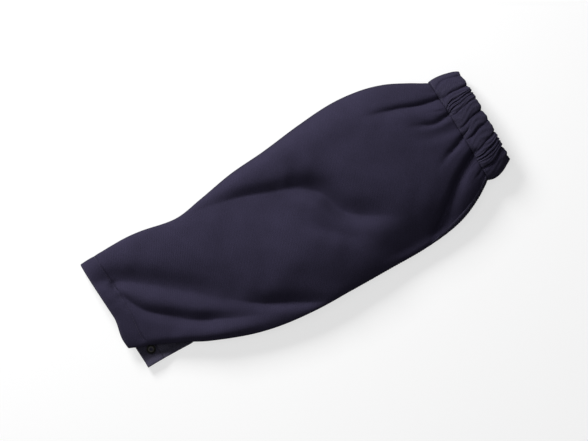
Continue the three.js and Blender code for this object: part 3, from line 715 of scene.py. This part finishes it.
# The elastic casing
# The end of the sleeve, turned in over a hidden elastic and stitched down along its lower edge. The
# elastic draws it up in gathers, which are pressed flat where it lies on the ground.
casing_wall = 3.2
gather_depth = 2.1
casing_sections = table(
    "along of far near foot far_rim near_rim crown",
    (0.0, elastic_width, 0.527, 0.585, 0.5, 0.38, 0.38, 0.79),
    (0.4, elastic_width, 0.521, 0.582, 0.5, 0.38, 0.38, 0.8),
    (0.75, elastic_width, 0.5, 0.54, 0.46, 0.37, 0.37, 0.76),
    (1.0, elastic_width, 0.466, 0.492, 0.42, 0.35, 0.35, 0.7),
)


def casing_line(share, even):
    """Middle of the casing's wall at shares of its depth and at gathers round it: the body's own outline,
    with the body's folds fading into it."""
    share = np.asarray(share, float)[:, None]
    far, near, foot, far_rim, near_rim, crown = sizes_at(casing_sections, share)
    ground = casing_wall / 2 + 0.3 * gather_depth

    def along(y):
        return body_length + share * casing_depth + mix(casing_slope, edge_slope, share) * y

    def side(start, stop, inner, outer, sign, rim):
        angle = np.linspace(start, stop, 30, endpoint=False)
        y = sign * mix(inner, outer, np.sin(angle))
        return np.stack([along(y), y, mix(ground, rim, 1 - np.cos(angle))], -1)

    y = mix(-foot, far - far_roll, np.arange(40) / 40)
    flat = np.stack([along(y), y, np.full(y.shape, ground)], -1)
    y, z, folded = upper_arch(160, far, near, far_rim, near_rim, crown)
    fold = fold_rise(along(y), y) * folded * (1 - smoothstep(share, 0, 0.6))
    top = np.stack([along(y), y, z + fold], -1)
    loop = np.concatenate(
        [
            side(join_angle, 0, foot, near, -1, near_rim),
            flat,
            side(0, np.pi / 2, far - far_roll, far, 1, far_rim),
            top,
            side(np.pi / 2, join_angle, foot, near, -1, near_rim),
        ],
        1,
    )
    loop = np.concatenate([loop, loop[:, :1]], 1)
    length = arc_lengths(loop)
    wanted = np.mod(gather_turn(even, share), 1) * length[:, -1:]
    return np.array([at_lengths(*row) for row in zip(loop, length, wanted)])


def out_of_loops(here, before, after):
    """Directions out of rows that are closed loops, between the rows before and after them."""
    round_it = np.roll(here, -1, axis=1) - np.roll(here, 1, axis=1)
    return unit(np.cross(round_it, after - before))


def casing_face(share, even, offset, waved):
    """A face of the casing: its middle, moved out by an offset and by the gathers times waved, and kept
    above the ground. The gathers are calmer at the far corner and where they lie on the ground."""
    beside = 0.01
    before, here, after = (casing_line(np.asarray(share) + step, even) for step in (-beside, 0, beside))
    out = out_of_loops(here, before, after)
    s = np.asarray(share)[:, None]
    height = gather_height(even, s)
    calm = 1 - 0.55 * smoothstep(here[..., 1], 0.28 * elastic_width, 0.45 * elastic_width)
    on_ground = smoothstep(-out[..., 2], 0.3, 0.8)
    wave = 0.9 * gather_depth * height * calm * np.asarray(waved)[:, None] * (1 - 0.7 * on_ground)
    points = here + out * (np.asarray(offset)[:, None] + wave)[..., None]
    points[..., 0] += 1.1 * wave * smoothstep(s, 0.75, 1)
    points[..., 2] = np.maximum(points[..., 2], 0)
    return points, out, height


gather_columns = (1 - np.cos(np.pi * np.arange(20) / 20)) / 2  # closest at the creases
even = ((np.arange(gather_count)[:, None] + gather_columns) / gather_count).ravel()
half_wall = casing_wall / 2
start, start_round, edge_round = 0.015, 0.012, 0.04  # shares of the casing's depth
outside = np.linspace(start, 1 - edge_round, 30)
turn = np.linspace(0, np.pi, 9)[1:-1]
over_edge, over_start = 1 - edge_round + edge_round * np.sin(turn), start - start_round * np.sin(turn)
share = np.concatenate([outside, over_edge, outside[::-1], over_start])
pinch = 1 - 0.45 * np.exp(-outside / 0.05)
offset = half_wall * np.concatenate([pinch, np.cos(turn), -pinch[::-1], -pinch[0] * np.cos(turn)])
# How much of the gathers' height the outside, the edge, the inside and the start take.
waved = np.concatenate(
    [
        mix(0.45, 1, smoothstep(outside, 0, 0.2)) * mix(1, 0.85, smoothstep(outside, 0.85, 1)),
        mix(0.85, 0.4, (1 - np.cos(turn)) / 2),
        np.full(len(outside), 0.4),
        np.full(len(turn), 0.42),
    ]
)
casing_points, _, casing_height = casing_face(share, even, offset, waved)
casing_uv = flat_places(even * cut_width, (body_length + share * casing_depth)[:, None])
# The gathers' ridges outside are paler, partly from wear and partly as a painted highlight on their tops.
casing_wear_and_painted_highlight = 0.15 * np.clip(casing_height, 0, 1) * (offset > 0)[:, None]
casing = grid_piece(
    "gathered_casing", casing_points, casing_uv, wear_and_painted_light=casing_wear_and_painted_highlight, round_columns=True, round_rows=True
)
finish_cloth(casing, navy_twill, "elastic_casing")

# The felled side seam
# The two long edges of the cloth, folded into each other and stitched down flat in two rows. The band
# runs on the outside from the slit to the casing and puckers a little between its stitches.
seam_width = 10
seam_wall = 0.9
seam_stitches_at = (2, 8)  # across the band
seam_dip = 0.25  # where the stitches pull it in
near_steps = {"strip": 4, "ground": 16, "far": 4, "top": 80, "near": 40}


def across_rows(points, out, distances):
    """Places and directions at given distances along each row, by straight lines between its points."""
    both = np.concatenate([points, out], -1)
    found = np.array([at_lengths(*row) for row in zip(both, arc_lengths(points), distances)])
    return found[..., :3], unit(found[..., 3:])


def near_strip(distance, across, start=0):
    """The body's cloth at distances up its near side, counted from start above the slit's upper edge or,
    beyond the slit, above its line."""
    points, out = body_surface(distance, near_steps)
    return across_rows(points[:, ::-1], out[:, ::-1], np.asarray(start)[..., None] + across)


def seam_start(distance):
    """How far up the near side, from the slit's line, the seam starts."""
    points, _ = body_surface(distance, near_steps)
    near_length = arc_lengths(points[:, ::-1])[:, near_steps["near"]]
    return value_at(sections, "seam", distance / body_length) * near_length


seam_rows = np.linspace(slit_length + seam_width / 2, body_length, 190)
upper_columns = 13
across = np.concatenate([np.linspace(0, seam_width, upper_columns), np.linspace(seam_width, 0, 5)[1:-1]])
upper = np.arange(len(across)) < upper_columns
round_edges = np.sqrt(np.clip(1 - np.abs(2 * across / seam_width - 1) ** 3, 0, 1))
dips = sum(np.exp(-(((across - place) / 0.7) ** 2)) for place in seam_stitches_at)
rows = seam_rows[:, None]
ripple = 0.12 * np.sin(rows / 1.9 + 0.8 * np.sin(rows / 13) + across * 0.5)
raised = seam_wall * round_edges - seam_dip * dips + ripple * round_edges
height = cloth / 2 + np.where(upper, raised, -0.15)
seam_begin = seam_start(seam_rows)
seam_points, seam_out = near_strip(seam_rows, across, seam_begin)
seam_points = seam_points + seam_out * height[..., None]
seam_uv = flat_places(across, rows)
seam_worn = np.where(upper, 0.15 * (1 - round_edges) + 0.03, 0)
seam = grid_piece("felled_seam", seam_points, seam_uv, wear_and_painted_light=seam_worn, round_columns=True)
finish_cloth(seam, turned_navy, "side_seam")

# The turned edges of the slit
# Along each side of the slit the body's own cloth is turned in and stitched down, so that no raw edge
# shows. The one below is paler, partly from wear and partly as painted light where the rolled corner
# shades it, and the one above is inside the rolled corner.
facing_width = 9
facing_wall = 0.8
facing_rows = np.linspace(hem_depth + clearance, slit_length - 2, 40)
upper_columns = 10
to_fold = np.linspace(0, facing_width, upper_columns)
across = np.concatenate([to_fold, to_fold[::-1]])
upper = np.arange(len(across)) < upper_columns
round_edges = np.sqrt(np.clip(1 - np.abs(2 * across / facing_width - 1) ** 10, 0, 1))
middle = -cloth / 2 - facing_wall / 2
height = middle + np.where(upper, 0.5, -0.5) * facing_wall * round_edges
slit_points, slit_out = body_surface(facing_rows, near_steps)
facing_uv = flat_places(across, facing_rows[:, None])
# The last number is how much wear and painted light pale each facing.
for name, node, way, wear_and_painted_light in (
    ("facing_below", "slit_facing_under", 1, 0.9),
    ("facing_above", "slit_facing_over", -1, 0.15),
):
    points, out = across_rows(slit_points[:, ::way], slit_out[:, ::way], facing_uv[..., 0])
    points = points + out * height[:, None]
    facing = grid_piece(name, points, facing_uv, wear_and_painted_light=wear_and_painted_light, round_columns=True)
    finish_cloth(facing, turned_navy, node)

# The snap
# A snap of dark gunmetal in three pieces: the cap under the strip with its dome to the ground, the socket
# ring above it, which shows on the strip, and the stud under the rolled corner, where it is hidden.
socket_radius, socket_bore, socket_height = 6.2, 2.3, 2
stud_radius, stud_post_radius, stud_height = 5, 2, 2.8


def make_gunmetal():
    """Blackened metal with fine scratches, bright where its rims are rubbed."""
    material, tree, output = new_material("gunmetal")
    place = add(tree, "TexCoord").outputs["Object"]
    scratches = noise(tree, place, scale=900, detail=4, roughness=0.65)
    rim = add(tree, "Attribute", attribute_name="wear_and_painted_light").outputs["Fac"]
    paler_share = calc(tree, "MULTIPLY", rim, calc(tree, "MULTIPLY", scratches, 2))
    paler_share = add(tree, "Clamp", {0: paler_share}).outputs[0]
    dark, bright = (0.014, 0.014, 0.013, 1), (0.3, 0.29, 0.27, 1)
    colour = add(tree, "MixRGB", {0: paler_share, 1: dark, 2: bright})
    bump = add(tree, "Bump", {"Strength": 0.5, "Distance": 0.02 * mm, "Height": scratches})
    inputs = {
        "Base Color": colour.outputs[0],
        "Metallic": 0.9,
        "Roughness": map_range(tree, scratches, 0.3, 0.7, 0.28, 0.48),
        "Normal": bump.outputs[0],
    }
    principled(tree, output, inputs)
    return material


gunmetal = make_gunmetal()


def turned_piece(name, node, outline, place, up):
    """A ring or button: an outline of radii, heights and wear, softened, and turned round an axis. An
    outline that ends where it began is a ring, and any other has flat ends."""
    radius, height, wear = np.array(outline, float).T
    knots = np.linspace(0, 1, len(radius))
    fine = np.linspace(0, 1, 4 * (len(radius) - 1) + 1)
    radius, height, wear = (np.interp(fine, knots, values) for values in (radius, height, wear))
    for _ in range(2):
        for values in (radius, height):
            values[1:-1] = (values[:-2] + 2 * values[1:-1] + values[2:]) / 4
    sides = 48
    turn = 2 * np.pi * np.arange(sides) / sides
    up = np.asarray(up, float)
    first = np.cross(up, (1, 0, 0) if abs(up[0]) < 0.9 else (0, 1, 0))
    first /= np.linalg.norm(first)
    second = np.cross(up, first)
    wheel = np.cos(turn)[:, None] * first + np.sin(turn)[:, None] * second
    points = place + radius[:, None, None] * wheel + height[:, None, None] * up
    uv = flat_places(turn * 5, height[:, None])
    closed = np.hypot(radius[0] - radius[-1], height[0] - height[-1]) < 1e-6
    if closed:
        points, uv, wear = points[:-1], uv[:-1], wear[:-1]
    piece = grid_piece(name, points, uv, wear_and_painted_light=wear[:, None], round_columns=True, round_rows=closed)
    piece.data.materials.append(gunmetal)
    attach(piece, "root")
    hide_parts(node)


pole = 0.01
cap_outline = [
    (pole, 0, 0),
    (0.6 * cap_radius, 0, 0.1),
    (0.85 * cap_radius, 0.12 * cap_height, 0.3),
    (cap_radius, 0.4 * cap_height, 1),
    (cap_radius, 0.75 * cap_height, 1),
    (0.9 * cap_radius, cap_height, 0.3),
    (pole, cap_height, 0),
]
turned_piece("cap", "snap_cap", cap_outline, (*snap_place, 0), (0, 0, 1))
socket_outline = [
    (socket_bore, 0, 0),
    (socket_radius, 0, 0),
    (socket_radius, 0.35 * socket_height, 0.1),
    (0.9 * socket_radius, 0.6 * socket_height, 0),
    (0.62 * socket_radius, 0.7 * socket_height, 0),
    (0.56 * socket_radius, socket_height, 0.2),
    (1.15 * socket_bore, socket_height, 0.25),
    (socket_bore, 0.85 * socket_height, 0.1),
    (socket_bore, 0, 0),
]
socket_base = cap_height + 2 * clearance + hem_wall
turned_piece("socket", "snap_socket", socket_outline, (*snap_place, socket_base), (0, 0, 1))
points, out = near_strip([snap_from_edge], np.array([[snap_from_slit]]))
stud_outline = [
    (pole, 0, 0),
    (stud_radius, 0, 0.2),
    (stud_radius, 0.25 * stud_height, 0.8),
    (stud_post_radius, 0.4 * stud_height, 0),
    (0.8 * stud_post_radius, 0.6 * stud_height, 0),
    (stud_post_radius, 0.85 * stud_height, 0.5),
    (0.7 * stud_post_radius, stud_height, 0.8),
    (pole, stud_height, 0.5),
]
stud_foot = points[0, 0] + out[0, 0] * (cloth / 2 + clearance)
turned_piece("stud", "snap_stud", stud_outline, stud_foot, out[0, 0])

# The stitches
# Strong navy thread, in a row along each seam. Every stitch is a short round length of thread that rises
# from the cloth, lies along it and goes down again.
stitch_length = 2.5
stitch_pitch = 3.2
thread_radius = 0.28


def stitch_row(points, out, pitch=stitch_pitch, length=stitch_length):
    """Stitches along a row of points: for each, rings of thread along a low arc, thinner at its ends. The
    row's own direction, the direction out of the cloth and the one across both place the rings. Stitches
    that would reach into the ground are pressed up into the cloth."""
    travelled = arc_lengths(points)
    count = max(int((travelled[-1] - length) / pitch), 1)
    centre = (np.arange(count) + 0.5) * travelled[-1] / count
    steps = (-length / 2, 0, length / 2)
    start, middle, stop = (at_lengths(points, travelled, centre + step) for step in steps)
    up = at_lengths(out, travelled, centre)
    ahead = unit(stop - start)
    sideways = unit(np.cross(ahead, up))
    up = np.cross(sideways, ahead)
    t = np.linspace(-1, 1, 7)
    line = middle[:, None] + ahead[:, None] * (t * length / 2)[:, None]
    line += up[:, None] * (thread_radius * (0.4 - 1.5 * t**4))[:, None]
    turn = 2 * np.pi * np.arange(6) / 6
    ring = np.cos(turn)[:, None] * sideways[:, None] + np.sin(turn)[:, None] * up[:, None]
    thick = thread_radius * np.sqrt(np.clip(1.05 - t**6, 0.08, 1))
    rings = line[:, :, None] + thick[:, None, None] * ring[:, None]
    rings[..., 2] += np.maximum(-rings[..., 2].min((1, 2)), 0)[:, None, None]
    return rings


def make_thread():
    """Twisted navy thread, a little shinier than the cloth."""
    material, tree, output = new_material("navy_thread")
    place = add(tree, "TexCoord").outputs["Object"]
    twist = add(tree, "TexWave", {"Vector": place, "Scale": 900, "Distortion": 2, "Detail": 1})
    tone = map_range(tree, twist.outputs["Fac"], 0, 1, 0.6, 1.2)
    bump = add(tree, "Bump", {"Strength": 0.6, "Distance": 0.05 * mm, "Height": twist.outputs["Fac"]})
    inputs = {
        "Base Color": shaded(tree, (0.024, 0.021, 0.038), tone),
        "Normal": bump.outputs[0],
        "Roughness": 0.6,
        "Specular IOR Level": 0.4,
    }
    principled(tree, output, inputs)
    return material


thread = make_thread()


def stitches_piece(name, rows):
    """All the stitches of some rows, joined in one piece, each a closed shape."""
    rings = np.concatenate(rows)
    count, along, round_it = rings.shape[:3]
    index = np.arange(along * round_it).reshape(along, round_it)
    after = np.roll(index, -1, axis=1)
    quads = np.stack([index[:-1], after[:-1], after[1:], index[1:]], -1).reshape(-1, 4)
    shift = (np.arange(count) * along * round_it)[:, None, None]
    faces = (quads + shift).reshape(-1, 4).tolist()
    ends = np.stack([index[0, ::-1], index[-1]])
    faces += (ends + shift).reshape(-1, round_it).tolist()
    mesh = new_mesh(name, rings.reshape(-1, 3), faces)
    mesh.materials.append(thread)
    piece = add_object(name, mesh)
    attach(piece, "root")


# The hem's row lies where its stitches pull it in, and stops short of the slit's edges.
points, out = body_surface([hem_stitches_at], hem_steps)
hem_row = stitch_row((points + out * (cloth / 2 - 0.2))[0, 4:-4], out[0, 4:-4])
stitches_piece("hem_stitches", [hem_row])

# The casing's row lies in its pinched start, over gathers that are about half as high there.
points, out, _ = casing_face([0.05], even, [half_wall * 0.76], [0.55])
stitches_piece("casing_stitches", [stitch_row(points[0], out[0], pitch=2.9, length=2.3)])

seam_stitches = []
for place in seam_stitches_at:
    points, out = near_strip(seam_rows, np.array([place]), seam_begin)
    points = points + out * (cloth / 2 + seam_wall - seam_dip)
    seam_stitches.append(stitch_row(points[:, 0], out[:, 0]))
stitches_piece("seam_stitches", seam_stitches)

# Below the slit they show on the facing, and above it on the sleeve's outside.
stitch_inset = 2  # from the facing's free edge
stitch_place = np.full((len(facing_rows), 1), facing_width - stitch_inset)
slit_stitches = []
for way, side, wall in ((1, -1, cloth / 2 + facing_wall), (-1, 1, cloth / 2)):
    points, out = across_rows(slit_points[:, ::way], slit_out[:, ::way], stitch_place)
    out = side * out
    slit_stitches.append(stitch_row((points + out * wall)[:, 0], out[:, 0]))
stitches_piece("slit_stitches", slit_stitches)
